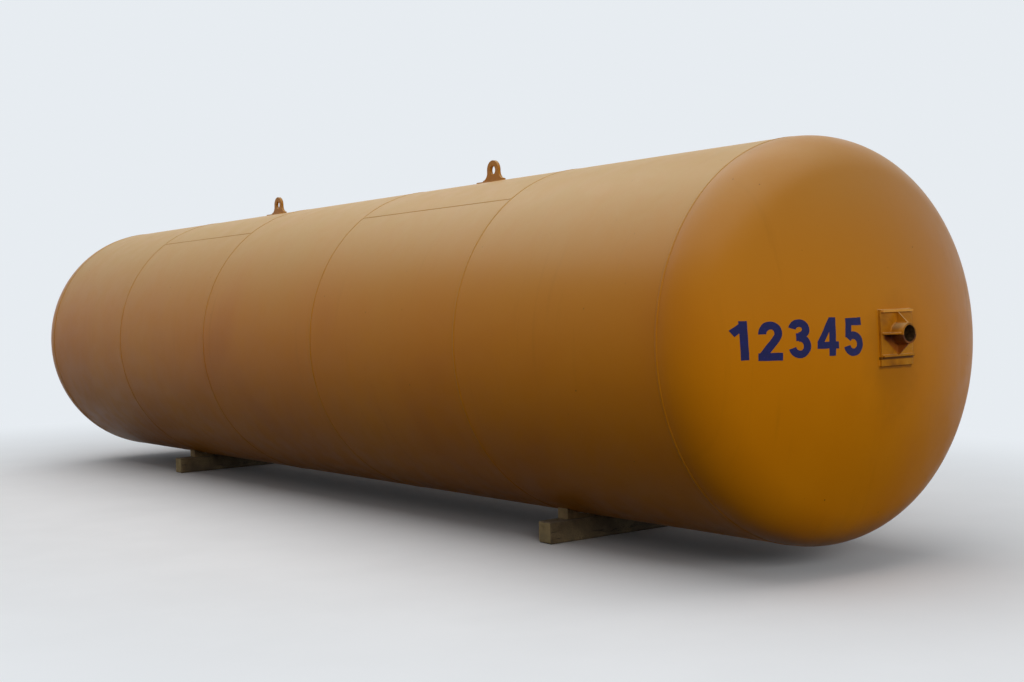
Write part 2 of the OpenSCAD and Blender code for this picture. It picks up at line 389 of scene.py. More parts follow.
def seamNodes(look, vector, parts, height, wander):  # grime at the beads, and how near a girth bead is
    offSeam = calc("PINGPONG", minus(parts["Y"], tank["frontWeld"]), tank["courseWidth"] / 2)
    offSeam = plus(offSeam, wander)
    grime = spread(offSeam, *look["seamReach"])
    if look["seams"] == "both":  # the lengthwise seam is right or left of the crown
        side = addNode("ShaderNodeAttribute", tree=vector.id_data, attribute_name="seamSide")
        turned = calc("ARCTAN2", times(parts["X"], side.outputs["Fac"]), height)
        offLong = sizeOf(minus(turned, radians(tank["seamAngle"])))
        offLong = timesPlus(offLong, tank["radius"], wander)
        grime = larger(grime, spread(offLong, *look["seamReach"]))
    patchy = spread(cloudy(vector, 2.6), 0.35, 0.65, 0.2 * look["seamGrime"], look["seamGrime"])
    return times(grime, patchy), spread(offSeam, *look["pullReach"])


def dripLayers(amount, paintedShade, vector, parts):  # rusty water, drawn together on its way down, with painted shade below the pipe and ribs
    look = dripAndShadeLook
    below = minus(tank["nozzleHeight"], parts["Z"])
    reach = smaller(timesPlus(below, look["narrowing"], look["start"]), look["widest"])
    inside = plus(minus(reach, sizeOf(parts["X"])), ragged(vector, 38.0, look["ragged"]))
    washAndShade = times(spread(inside, *look["edge"]), spread(below, *look["top"]))
    # darker still just below the pipe: rust and painted shade
    darkRustAndShade = times(washAndShade, spread(below, *look["darkDrop"]))
    # a painted shadow in a band just under the lower ledge
    caught = spread(sizeOf(minus(below, look["ledgeDrop"])), *look["ledgeReach"])
    return [(times(washAndShade, amount * look["wash"]), look["rustAndShadeWash"]),
            (times(darkRustAndShade, amount * look["dark"]), look["rustAndShadeDark"]),
            (times(caught, amount * look["ledgeShade"]), paintedShade)]


def stainMasks(amount, vector, parts, height, wander):  # a duller patch round the nozzle, and a painted shadow under the pad's foot
    look = stainAndShadeLook
    level = minus(height, look["rise"])
    level = timesPlus(smaller(level, 0.0), look["drawnOut"], larger(level, 0.0))
    off = plus(diagonal(parts["X"], level), ragged(vector, 7.0, look["ragged"], 5.0))
    # a painted shadow in a band below the pad's lower edge
    offFoot = plus(sizeOf(minus(look["footHeight"], parts["Z"])), wander)
    foot = times(spread(offFoot, *look["footReach"]), spread(sizeOf(parts["X"]), *look["footHalf"]))
    return times(spread(off, *look["reach"]), amount), times(foot, look["footShade"])


def boreNodes(vector, parts):  # raw rusty steel in the bore and on the cut end's inner edge
    look = boreLook
    reach = diagonal(parts["X"], minus(parts["Z"], tank["nozzleHeight"]))
    reach = timesPlus(cloudy(vector, 90.0), look["ragged"], reach)
    rusty = blendColour(spread(cloudy(vector, 45.0, 6.0, 0.7), 0.35, 0.65), look["light"], look["dark"])
    return spread(reach, *look["edge"]), rusty


def makeEnamel(name, look):
    material, shader, vector = startMaterial(name)
    parts = partsOf(vector)
    height = minus(parts["Z"], tank["axisHeight"])
    tone = toneOn(vector, look)
    # the enamel turns lighter towards the top: sun bleaching, and a painted sheen of the sky
    raised = plus(height, timesPlus(tone["Patches"], look["bleachAndSheenCloud"], -look["bleachAndSheenCloud"] / 2))
    paint = blendColour(spread(raised, *look["bleachAndSheenHeights"]), tone["Colour"], look["bleachedAndSheen"])
    across, along = parts["X"], parts["Z"]
    if look["flow"] == "round":  # rain flows down the round side, so the way along it is the angle
        across, along = parts["Y"], times(calc("ARCTAN2", sizeOf(parts["X"]), height), tank["radius"])
    runs = placeGroup(rainRuns, {"Across": across, "Along": along, "Amount": look["runAmount"]})["Mask"]
    layers = [(runs, look["grime"])]
    wander = ragged(vector, 14.0, look["wander"])
    skin = skinOn(vector, look)
    if look["seams"] != "none":
        caught, nearWeld = seamNodes(look, vector, parts, height, wander)
        layers.append((caught, look["grime"]))
        puckers = cloudy(vectorCalc("MULTIPLY", vector, look["puckerScale"]), 1.0, 2.0, 0.5, 0.4)
        skin = timesPlus(times(puckers, nearWeld), look["pucker"], skin)  # left by the weld's heat
    # rust runs and painted shade below the nozzle
    if look["dripsAndShade"]:
        layers += dripLayers(look["dripsAndShade"], look["paintedShade"], vector, parts)
    if look["stain"]:
        # a duller patch, and a painted shadow under the pad's foot
        patch, foot = stainMasks(look["stain"], vector, parts, height, wander)
        layers += [(patch, look["grime"]), (foot, look["paintedShade"])]
    spots = placeGroup(rustPricks, {"Vector": vector, "Amount": look["spotAmount"]})["Mask"]
    layers.append((spots, look["rust"]))
    if look["chipAmount"]:
        chips = chipsOn(vector, look)
        layers.append((chips, look["rust"]))
        spots = larger(spots, chips)
    # pale dust where the paint faces up, and with it a painted sheen on the crown
    dust = dustOn(vector, look)
    drops, muddy = mudOn(vector, look)
    paint = paintOver(paint, layers + [(dust, look["dust"]), (muddy, look["mud"])])
    dull = larger(larger(dust, spots), larger(drops, runs))
    rough = spread(cloudy(vector, 6.0, 5.0, 0.6), 0.3, 0.7, *look["gloss"])
    rough = timesPlus(dull, look["dullness"], rough, clamp=True)
    coat = spread(height, *look["coatHeights"], *look["coat"])  # road film dulls the lower half
    coat = times(coat, timesPlus(dull, -look["coatLoss"], 1.0), clamp=True)
    skin = timesPlus(drops, look["mudDepth"], skin)
    skin = timesPlus(spots, look["rustDepth"], skin)
    if look["bore"]:
        bore, rusty = boreNodes(vector, parts)
        paint = blendColour(bore, paint, rusty)
        rough = timesPlus(bore, boreLook["rough"], rough, clamp=True)
    finishShader(shader, paint, rough, skin, {
        "Coat Weight": coat, "Coat Roughness": look["coatGloss"],
        "Specular IOR Level": look["underSheen"], "Specular Tint": look["sheenTint"]})
    return material


onHead = {"seams": "round", "runAmount": 0.12, "waveDepth": 0.0008, "dustAmount": 0.26,
          "bleachedAndSheen": colour(180, 118, 28)}
onSmallPlate = {"waveDepth": 0.0002, "peelDepth": 0.00005}
enamelChanges = {
    "courseEnamel": {"flow": "round", "seams": "both"},
    "rearHeadEnamel": onHead,
    "frontHeadEnamel": {**onHead, "stain": 0.24},
    "beadEnamel": {
        "flow": "round", "colour": colour(208, 132, 14), "spotAmount": 0.06, "waveDepth": 0.0,
        "runAmount": 0.2, "gloss": (0.33, 0.46)},
    "bracketEnamel": {
        **onSmallPlate, "colour": colour(200, 126, 18), "lightColour": colour(214, 144, 36),
        "darkColour": colour(160, 96, 18), "patchScale": 7.0, "mottle": 0.25, "runAmount": 0.4,
        "spotAmount": 0.16, "chipAmount": 0.62, "gloss": (0.37, 0.50), "dripsAndShade": 1.0},
    # the top ledge's enamel is lighter, as painted light on its lit faces
    "ledgeEnamelPaintedLight": {
        **onSmallPlate, "colour": colour(236, 164, 62), "lightColour": colour(242, 178, 88),
        "darkColour": colour(214, 142, 46), "bleachedAndSheen": colour(240, 176, 86), "patchScale": 7.0,
        "chipAmount": 0.55, "spotAmount": 0.1, "gloss": (0.37, 0.50)},
    # darker, dirtier enamel on the lugs: real dirt, and painted shade
    "lugEnamelDirtAndShade": {
        **onSmallPlate, "colour": colour(178, 110, 20), "lightColour": colour(196, 126, 32),
        "darkColour": colour(118, 72, 20), "bleachedAndSheen": colour(176, 116, 34), "patchScale": 9.0,
        "mottle": 0.4, "chipAmount": 0.72, "spotAmount": 0.2, "runAmount": 0.45,
        "gloss": (0.40, 0.53), "dustAmount": 0.35},
    "pipeEnamel": {
        **onSmallPlate, "colour": colour(192, 120, 18), "darkColour": colour(144, 88, 18),
        "patchScale": 8.0, "mottle": 0.35, "runAmount": 0.4, "spotAmount": 0.2, "chipAmount": 0.6,
        "dripsAndShade": 0.85, "bore": True},
}
enamels = {name: makeEnamel(name, {**enamelLook, **changes}) for name, changes in enamelChanges.items()}

figurePaintLook = {
    "colour": colour(20, 22, 80), "worn": colour(36, 42, 116), "wornAmount": 0.55, "thinAmount": 0.3,
    "gloss": 0.34, "wornLoss": 0.3, "sheen": 0.26, "dustAmount": 0.4, "dustScale": 3.0,
    "waveDepth": 0.0002, "peelDepth": 0.00004}


def makeFigurePaint():
    look = figurePaintLook
    material, shader, vector = startMaterial("figurePaint")
    worn = spread(cloudy(vector, 26.0, 6.0, 0.7), 0.5, 0.78, 0.0, look["wornAmount"])
    thin = spread(cloudy(vector, 160.0, 3.0, 0.6), 0.66, 0.78, 0.0, look["thinAmount"])
    base = paintOver(look["colour"], [(worn, look["worn"]), (thin, enamelLook["darkColour"]),
                                      (dustOn(vector, look), enamelLook["dust"])])
    rough = timesPlus(worn, look["wornLoss"], look["gloss"])
    finishShader(shader, base, rough, skinOn(vector, look), {"Specular IOR Level": look["sheen"]})
    return material


figurePaint = makeFigurePaint()
timberLook = {"patchScale": 6.0, "mottle": 0.4, "lateAmount": 0.55, "endGrainAndLightAmount": 0.5, "chipReach": 0.01,
              "chipAmount": 0.55, "wornAmount": 0.6, "dustAmount": 0.5, "dustScale": 9.0, "mudAmount": 0.8,
              "rough": (0.86, 0.74), "join": 0.00001, "flat": 0.2, "edge": 25, "segments": 2, "net": 0.016,
              "hollows": (4, 18, 18), "furrows": (16, 60, 60), "apart": (7, 3, 5),
              "wear": (0.5, 0.7, 0.3), "weather": 0.0034, "sharp": 50}
sleeperLook = {
    **timberLook, "slot": "sleeper_timber", "corner": 0.011,
    "colour": colour(136, 116, 86), "lightColour": colour(174, 152, 112), "darkColour": colour(94, 80, 60),
    "lateWood": colour(88, 70, 48), "crack": colour(28, 22, 16), "endGrainAndLight": colour(206, 178, 122),
    "dust": colour(146, 137, 122), "rings": 150.0, "crackDepth": 0.004, "mudReach": 0.11}
wedgeLook = {
    **timberLook, "slot": "wedge_timber", "corner": 0.003,
    "colour": colour(158, 132, 92), "lightColour": colour(184, 158, 114), "darkColour": colour(120, 98, 66),
    "lateWood": colour(118, 88, 54), "crack": colour(46, 34, 22), "endGrainAndLight": colour(178, 150, 104),
    "dust": colour(140, 130, 114), "rings": 170.0, "crackDepth": 0.0015, "mudReach": 0.2}


def makeTimber(name, heart, look):  # heart: where the log's own middle was
    material, shader, vector = startMaterial(name)
    placed = addNode("ShaderNodeMapping", {"Vector": vector, "Location": [-part for part in heart]})
    grain = placeGroup(sawnGrain, {
        "Vector": placed.outputs[0], "Rings a metre": look["rings"], "Crack depth": look["crackDepth"]})
    # lighter cut ends: end grain, and painted light on the lit end faces
    cutEndAndLight = spread(sizeOf(partsOf(facing(vector))["X"]), 0.75, 0.95)
    wood = paintOver(toneOn(vector, look)["Colour"], [
        (times(grain["Late wood"], look["lateAmount"]), look["lateWood"]),
        (grain["Cracks"], look["crack"]),
        (times(cutEndAndLight, look["endGrainAndLightAmount"]), look["endGrainAndLight"]),
        (times(chipsOn(vector, look), look["wornAmount"]), look["lightColour"]),
        (dustOn(vector, look), look["dust"]),
        (mudOn(vector, look)[1], enamelLook["mud"])])
    finishShader(shader, wood, spread(grain["Late wood"], 0.0, 1.0, *look["rough"]), grain["Height"])
    return material


print("materials ready")


# geometry helpers

def evenly(start, end, count):  # both ends are among the values
    return [start + (end - start) * step / count for step in range(count + 1)]


def linkObject(name, mesh):
    item = bpy.data.objects.new(name, mesh)
    scene.collection.objects.link(item)
    return item


def endMesh(work, name, material=None):
    mesh = bpy.data.meshes.new(name)
    work.to_mesh(mesh)
    work.free()
    if material is not None:
        mesh.materials.append(material)
    return linkObject(name, mesh)


def applyAll(item, name):  # turns an object with modifiers into a plain mesh object
    shown = item.evaluated_get(bpy.context.evaluated_depsgraph_get())
    mesh = bpy.data.meshes.new_from_object(shown)
    mesh.name = name
    old = item.data
    bpy.data.objects.remove(item)
    bpy.data.meshes.remove(old)
    return linkObject(name, mesh)


def runTree(name, mesh, group, values):
    item = bpy.data.objects.new(name, mesh)
    modifier = item.modifiers.new("tree", "NODES")
    modifier.node_group = group
    for socket in group.interface.items_tree:
        if socket.name in values:
            modifier[socket.identifier] = values[socket.name]
    scene.collection.objects.link(item)
    return applyAll(item, name)


def settle(piece, replaced=()):
    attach(piece, "root")
    if replaced:
        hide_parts(*replaced)


def cutAlong(work, axis, start, end, cell):  # cuts a net, so that the faces can bend
    place = start
    while place < end:
        everything = work.verts[:] + work.edges[:] + work.faces[:]
        bmesh.ops.bisect_plane(work, geom=everything, plane_co=axis * place, plane_no=axis)
        place += cell


def geo(kind, sockets, **settings):
    return addNode("GeometryNode" + kind, sockets, **settings).outputs[0]


def plateNodes(entry):  # turns a plate's section (X out from the axis, Y along the tank) round the tank
    tree = entry["Geometry"].id_data
    count = geo("AttributeDomainSize", {"Geometry": entry["Geometry"]})
    rows = plus(count, entry["Closing rows"])
    grid = geo("MeshGrid", {"Vertices X": plus(entry["Around"], 1.0), "Vertices Y": rows})
    index = geo("InputIndex", {}, tree=tree)
    turn = calc("FLOOR", calc("DIVIDE", plus(index, 0.5), rows))
    row = plus(minus(index, times(turn, rows)), 0.25)
    place = partsOf(geo("SampleIndex", {
        "Geometry": entry["Geometry"], "Index": calc("MODULO", row, count),
        "Value": geo("InputPosition", {}, tree=tree)}, data_type="FLOAT_VECTOR", domain="POINT"))
    angle = times(calc("DIVIDE", turn, entry["Around"]), 2 * pi)
    sideways, upward = calc("SINE", angle), calc("COSINE", angle)
    wave = cloudy(joined(sideways, place["Y"], upward), entry["Wave scale"], 1.0, 0.4)
    inward = times(spread(wave, 0.25, 0.75), entry["Wave depth"])
    for seam in ("Front seam", "Rear seam"):  # plates pull in a little beside a weld
        off = sizeOf(minus(place["Y"], entry[seam]))
        near = spread(calc("DIVIDE", off, entry["Pinch reach"]), 1.0, 0.0)
        inward = plus(inward, times(near, entry["Pinch depth"]))
    reach = minus(place["X"], times(inward, spread(place["X"], 0.3, 1.1)))
    rise = plus(times(reach, upward), entry["Axis height"])
    turned = geo("SetPosition", {
        "Geometry": grid, "Position": joined(times(reach, sideways), place["Y"], rise)})
    merged = geo("MergeByDistance", {"Geometry": turned, "Distance": 0.00002})
    marked = geo("StoreNamedAttribute", {
        "Geometry": merged, "Name": "seamSide", "Value": entry["Seam side"]},
        data_type="FLOAT", domain="POINT")
    real = geo("RealizeInstances", {"Geometry": marked})
    return [geo("SetMaterial", {"Geometry": real, "Material": entry["Paint"]})]


def beadNodes(entry):  # ripples of weld metal along a path whose points know which way is up
    tree = entry["Geometry"].id_data
    curve = geo("MeshToCurve", {"Mesh": entry["Geometry"]})
    points = geo("CurveToPoints", {"Curve": curve, "Length": entry["Pitch"]}, mode="LENGTH")
    upward = geo("InputNamedAttribute", {"Name": "upward"}, tree=tree, data_type="FLOAT_VECTOR")
    stand = addNode("FunctionNodeAxesToRotation", {
        "Primary Axis": upward, "Secondary Axis": points.node.outputs["Tangent"]},
        primary_axis="Z", secondary_axis="X").outputs[0]
    lean = addNode("FunctionNodeEulerToRotation", {"Euler": joined(0.0, entry["Tilt"])}).outputs[0]
    leaning = addNode("FunctionNodeRotateRotation", {"Rotation": stand, "Rotate By": lean},
                      rotation_space="LOCAL").outputs[0]
    less = minus(1.0, entry["Unevenness"])
    odd = addNode("FunctionNodeRandomValue", {
        0: joined(less, less, less), 1: (1.0, 1.0, 1.0), "Seed": entry["Seed"]},
        data_type="FLOAT_VECTOR").outputs[0]
    half = joined(times(entry["Length"], 0.5), times(entry["Width"], 0.5), entry["Height"])
    ripple = geo("MeshUVSphere", {"Segments": 8, "Rings": 4, "Radius": 1.0}, tree=tree)
    size = vectorCalc("MULTIPLY", half, odd)
    laid = geo("InstanceOnPoints", {
        "Points": points, "Instance": ripple, "Rotation": leaning, "Scale": size})
    smooth = geo("SetShadeSmooth", {"Geometry": geo("RealizeInstances", {"Geometry": laid})})
    return [geo("SetMaterial", {"Geometry": smooth, "Material": entry["Paint"]})]


meshOnly = {"Geometry": "Geometry"}
rolledPlate = makeGroup("rolledPlate", {
    "Geometry": "Geometry", "Around": 256, "Closing rows": 1, "Axis height": 1.344, "Front seam": 0.0,
    "Rear seam": 0.0, "Pinch depth": 0.0006, "Pinch reach": 0.05, "Wave depth": 0.0007,
    "Wave scale": 1.3, "Seam side": 1.0, "Paint": "Material"}, meshOnly, plateNodes, "GeometryNodeTree")
weldRun = makeGroup("weldRun", {
    "Geometry": "Geometry", "Pitch": 0.01, "Length": 0.014, "Width": 0.022, "Height": 0.0034,
    "Tilt": 0.12, "Unevenness": 0.1, "Seed": 1, "Paint": "Material"}, meshOnly, beadNodes,
    "GeometryNodeTree")


def lineMesh(name, paths):  # paths: lists of (place, upward), with a flag for a closed one
    mesh = bpy.data.meshes.new(name)
    places, edges, ups = [], [], []
    for steps, closed in paths:
        first, last = len(places), len(places) + len(steps) - 1
        places += [tuple(place) for place, up in steps]
        ups += [part for place, up in steps for part in Vector(up).normalized()]
        edges += [(number, number + 1) for number in range(first, last)]
        if closed:
            edges.append((last, first))
    mesh.from_pydata(places, edges, [])
    mesh.attributes.new("upward", "FLOAT_VECTOR", "POINT").data.foreach_set("vector", ups)
    return mesh


def layBead(name, paths, look, seed, paint="beadEnamel", replaced=()):
    values = {**look, "Seed": seed, "Paint": enamels[paint]}
    settle(runTree(name, lineMesh(name + "Path", paths), weldRun, values), replaced)


def seamSide(number):  # the long seams alternate right and left of the crown
    return 1.0 if number % 2 == 0 else -1.0


def rollPlate(name, points, closed, look, seams, side, paint):
    mesh = bpy.data.meshes.new(name + "Section")
    mesh.from_pydata([(reach, along, 0.0) for reach, along in points], [], [])
    plate = runTree(name, mesh, rolledPlate, {
        "Around": look["around"], "Closing rows": int(closed), "Axis height": tank["axisHeight"],
        "Front seam": seams[0], "Rear seam": seams[1], "Pinch depth": look["pinchDepth"],
        "Wave depth": look["waveDepth"], "Seam side": side, "Paint": enamels[paint]})
    work = bmesh.new()
    work.from_mesh(plate.data)
    bmesh.ops.recalc_face_normals(work, faces=work.faces)
    work.to_mesh(plate.data)
    work.free()
    plate.data.shade_smooth()
    return plate


# shell courses
courseLook = {"around": 256, "steps": 40, "innerSteps": 4, "pinchDepth": 0.0007, "waveDepth": 0.0007,
              "sharp": 40}


def makeCourse(number):
    look = courseLook
    front = tank["frontWeld"] + number * tank["courseWidth"]
    rear = front + tank["courseWidth"]
    outer = [(tank["radius"], along) for along in evenly(front, rear, look["steps"])]
    inside = tank["radius"] - tank["shellWall"]
    inner = [(inside, along) for along in evenly(rear, front, look["innerSteps"])]
    name = "plateCourse" + str(number + 1)
    course = rollPlate(name, outer + inner, True, look, (front, rear), seamSide(number), "courseEnamel")
    course.data.set_sharp_from_angle(angle=radians(look["sharp"]))
    settle(course, ["shell_course_" + str(number + 1)])


for number in range(tank["courseCount"]):
    makeCourse(number)
print("shell courses rolled")

# dished heads
headLook = {"around": 256, "crownSteps": 44, "knuckleSteps": 22, "innerSteps": 16, "pinchDepth": 0.0004,
            "waveDepth": 0.0006, "holeRadius": 0.0573, "drillLength": 0.3, "drillSides": 64, "sharp": 40}


def headSection(inset, crownSteps, knuckleSteps):  # from the pole to the weld, as reach and depth
    turn = asin(tank["knuckleCentre"] / tank["knuckleArm"])
    arcs = ((0.0, tank["crownRadius"] - inset, -tank["crownDrop"], evenly(0.0, turn, crownSteps)),
            (tank["knuckleCentre"], tank["knuckleRadius"] - inset, 0.0,
             evenly(turn, pi / 2, knuckleSteps)[1:]))
    points = []
    for sideways, radius, deep, angles in arcs:
        points += [(sideways + radius * sin(angle), tank["flange"] + deep + radius * cos(angle))
                   for angle in angles]
    return points + [(tank["radius"] - inset, 0.0)]


def makeHead(name, weld, side, paint):
    look = headLook
    outer = headSection(0.0, look["crownSteps"], look["knuckleSteps"])
    inner = headSection(tank["headWall"], look["innerSteps"], look["innerSteps"] // 2)
    points = [(reach, weld + side * depth) for reach, depth in outer + inner[::-1]]
    return rollPlate(name, points, False, look, (weld, weld), 1.0, paint)


def cutNozzleHole(head):
    look = headLook
    work = bmesh.new()
    bmesh.ops.create_cone(work, cap_ends=True, segments=look["drillSides"], radius1=look["holeRadius"],
                          radius2=look["holeRadius"], depth=look["drillLength"])
    place = Matrix.Translation((0, tank["frontTip"], tank["nozzleHeight"]))
    bmesh.ops.transform(work, matrix=place @ Matrix.Rotation(pi / 2, 4, "X"), verts=work.verts)
    drill = endMesh(work, "nozzleDrill")
    cut = head.modifiers.new("nozzleHole", "BOOLEAN")
    cut.operation = "DIFFERENCE"
    cut.solver = "EXACT"
    cut.object = drill
    cutHead = applyAll(head, head.name)
    bpy.data.objects.remove(drill)
    return cutHead


frontHead = cutNozzleHole(makeHead("dishedHeadFront", tank["frontWeld"], -1, "frontHeadEnamel"))
rearHead = makeHead("dishedHeadRear", tank["rearWeld"], 1, "rearHeadEnamel")
for head, node in ((frontHead, "front_head"), (rearHead, "rear_head")):
    head.data.set_sharp_from_angle(angle=radians(headLook["sharp"]))
    settle(head, [node])
print("heads dished")

# welds of the shell, as the bead's own inputs
seamBead = {"Pitch": 0.011, "Length": 0.036, "Width": 0.022, "Height": 0.0025, "Tilt": 0.05,
            "Unevenness": 0.10}
seamLook = {"sunk": 0.0004, "roundSteps": 180, "longSteps": 8}


def seamPoint(angle, along):  # on the shell, and the way off it
    up = Vector((sin(angle), 0, cos(angle)))
    return Vector((0, along, tank["axisHeight"])) + up * (tank["radius"] - seamLook["sunk"]), up


def girthPath(along):
    turns = evenly(0.0, 2 * pi, seamLook["roundSteps"])[:-1]
    return [seamPoint(turn, along) for turn in turns], True


def longPath(number):
    angle = seamSide(number) * radians(tank["seamAngle"])
    front = tank["frontWeld"] + number * tank["courseWidth"] + tank["beadWidth"] / 2
    rear = front + tank["courseWidth"] - tank["beadWidth"]
    return [seamPoint(angle, along) for along in evenly(front, rear, seamLook["longSteps"])], False


girths = ["girth_weld_" + str(number) for number in range(1, tank["courseCount"])]
for number, node in enumerate(["front_head_weld", *girths, "rear_head_weld"]):
    layBead("seamBead" + str(number + 1), [girthPath(tank["frontWeld"] + number * tank["courseWidth"])],
            seamBead, number + 1, replaced=[node])
for number in range(tank["courseCount"]):
    layBead("longBead" + str(number + 1), [longPath(number)], seamBead, number + 20,
            replaced=["long_weld_" + str(number + 1)])
print("shell welds laid")

# nozzle: the frame's own pieces with eased edges, and fillets where they meet
nozzleLook = {"pipeRadius": 0.057, "pipeTip": -5.685, "pipeFree": 0.008, "pipeSteps": 40,
              "padHalfWidth": 0.134, "padUp": 0.132, "padDown": 0.178, "padThickness": 0.014,
              "padCorner": 0.006, "cornerSteps": 4, "ribReach": 0.124, "ribHalf": 0.0045,
              "ledgeHalf": 0.0065, "ledgeHalfWidth": 0.125, "filletEnd": 0.007, "easing": 0.0015}
nozzleBead = {"Pitch": 0.005, "Length": 0.020, "Width": 0.011, "Height": 0.0040, "Tilt": 0.10,
              "Unevenness": 0.14}


def roundLoop(halfWidth, up, down, corner, steps):  # a round-cornered loop, and the way out of it
    loop = []
    for quarter, (side, rise) in enumerate(((1, up), (-1, up), (-1, -down), (1, -down))):
        for turn in evenly(quarter * pi / 2, (quarter + 1) * pi / 2, steps):
            away = Vector((cos(turn), sin(turn)))
            across = side * (halfWidth - corner) + corner * away.x
            loop.append((across, rise - copysign(corner, rise) + corner * away.y, away))
    return loop


def crownPlace(sideways, height, out=0.0):  # a point on the front head's crown, and the way off it
    level = height - tank["axisHeight"]
    ball = tank["crownRadius"] + out
    depth = sqrt(ball * ball - sideways * sideways - level * level)
    place = Vector((sideways, tank["crownCentre"] - depth, height))
    return place, Vector((sideways, -depth, level)).normalized()


def onCrown(spots, out):  # spots: sideways, height, and the fillet's way beside the crown's own
    line = []
    for sideways, height, off in spots:
        place, up = crownPlace(sideways, height, out)
        line.append((place, up + Vector((off[0], 0, off[1]))))
    return line


def crownLine(start, end, off, steps=12):  # on the pad, from one spot to another
    start, end = Vector(start), Vector(end)
    short = (end - start).normalized() * nozzleLook["filletEnd"]
    spots = [(*spot, off) for spot in evenly(start + short, end - short, steps)]
    return onCrown(spots, nozzleLook["padThickness"]), False


def padRim():  # on the head, round the pad's foot
    look = nozzleLook
    loop = roundLoop(look["padHalfWidth"], look["padUp"], look["padDown"], look["padCorner"],
                     look["cornerSteps"])
    return onCrown([(across, tank["nozzleHeight"] + rise, away) for across, rise, away in loop], 0.0), True


def pipeRing():  # on the pad, round the pipe's foot
    radius = nozzleLook["pipeRadius"]
    ways = [(cos(angle), sin(angle)) for angle in evenly(0.0, 2 * pi, nozzleLook["pipeSteps"])[:-1]]
    spots = [(radius * way[0], tank["nozzleHeight"] + radius * way[1], way) for way in ways]
    return onCrown(spots, nozzleLook["padThickness"]), True


def nozzleFillets():
    look = nozzleLook
    z, near, far, rib = tank["nozzleHeight"], look["pipeRadius"], look["ribReach"], look["ribHalf"]
    face = crownPlace(0, z, look["padThickness"])[0].y
    alongs = evenly(face, look["pipeTip"] + look["pipeFree"] + look["filletEnd"], 4)
    end = far - look["ledgeHalf"]
    onPad, onPipe = [], []
    for way in (-1, 1):
        for side in (-1, 1):
            level, foot = z + side * rib, z + way * near
            ledge = z + way * far + side * look["ledgeHalf"]
            onPad += [
                crownLine((way * near, level), (way * far, level), (0, side), 6),
                crownLine((side * rib, foot), (side * rib, z + way * end), (side, 0), 6),
                crownLine((-look["ledgeHalfWidth"], ledge), (look["ledgeHalfWidth"], ledge), (0, side))]
            corners = ((way * near, level, (way, 0, side)), (side * rib, foot, (side, 0, way)))
            for across, rise, up in corners:
                onPipe.append(([((across, along, rise), up) for along in alongs], False))
    return [padRim(), pipeRing()] + onPad + onPipe


layBead("nozzleFillets", nozzleFillets(), nozzleBead, 40, "bracketEnamel")

dressLook = {"join": 0.00001, "flat": 0.3, "sharp": 35, "segments": 2}


def dress(node, paint, easing):  # the facets are joined first, and then the real edges are eased
    item = nodes[node]
    item.data.materials.clear()
    item.data.materials.append(enamels[paint])
    item.modifiers.new("joinFaces", "WELD").merge_threshold = dressLook["join"]
    flat = item.modifiers.new("joinFlats", "DECIMATE")
    flat.decimate_type = "DISSOLVE"
    flat.angle_limit = radians(dressLook["flat"])
    bevel = item.modifiers.new("easeEdges", "BEVEL")
    bevel.width = easing
    bevel.segments = dressLook["segments"]
    bevel.limit_method = "ANGLE"
    bevel.angle_limit = radians(dressLook["sharp"])


for part in ("pad", "rib_top", "rib_bottom", "rib_left", "rib_right", "ledge_bottom"):
    dress("nozzle_" + part, "bracketEnamel", nozzleLook["easing"])
# the top ledge gets the lighter enamel: painted light
dress("nozzle_ledge_top", "ledgeEnamelPaintedLight", nozzleLook["easing"])
dress("nozzle_pipe", "pipeEnamel", nozzleLook["easing"])
print("nozzle dressed")

# lifting lugs and their pads
lugLook = {"places": {"front": -1.772, "rear": 1.868}, "footHalf": 0.135, "thickHalf": 0.0125,
           "footCorner": 0.008, "padHalfLength": 0.165, "padHalfWidth": 0.065, "padThickness": 0.012,
           "padCorner": 0.030, "cornerSteps": 6, "lugEasing": 0.0025, "padEasing": 0.0015}
lugBead = {**nozzleBead, "Pitch": 0.0055, "Length": 0.022, "Width": 0.012, "Height": 0.0048}


def lugRim(along, halfWidth, halfLength, corner, radius):  # lies on the tank's curve
    rim = []
    loop = roundLoop(halfWidth, halfLength, halfLength, corner, lugLook["cornerSteps"])
    for across, further, away in loop:
        rise = tank["axisHeight"] + sqrt(radius ** 2 - across ** 2)
        rim.append(((across, along + further, rise), Vector((away.x, away.y, 1))))
    return rim, True


for place, along in lugLook["places"].items():
    look = lugLook
    dress(place + "_lug", "lugEnamelDirtAndShade", look["lugEasing"])
    dress(place + "_lug_pad", "lugEnamelDirtAndShade", look["padEasing"])
    foot = lugRim(along, look["thickHalf"], look["footHalf"], look["footCorner"],
                  tank["radius"] + look["padThickness"])
    pad = lugRim(along, look["padHalfWidth"], look["padHalfLength"], look["padCorner"], tank["radius"])
    layBead(place + "LugFillets", [foot, pad], lugBead, 50, "lugEnamelDirtAndShade")
print("lugs dressed")


# the painted figures, plain counting ones, left of the nozzle
# a stroke is a line of points on a sheet one unit high, drawn with a flat brush
def bow(centre, across, upright, start, end, steps=36):
    turns = [radians(turn) for turn in evenly(start, end, steps)]
    return [(centre[0] + across * cos(turn), centre[1] + upright * sin(turn)) for turn in turns]


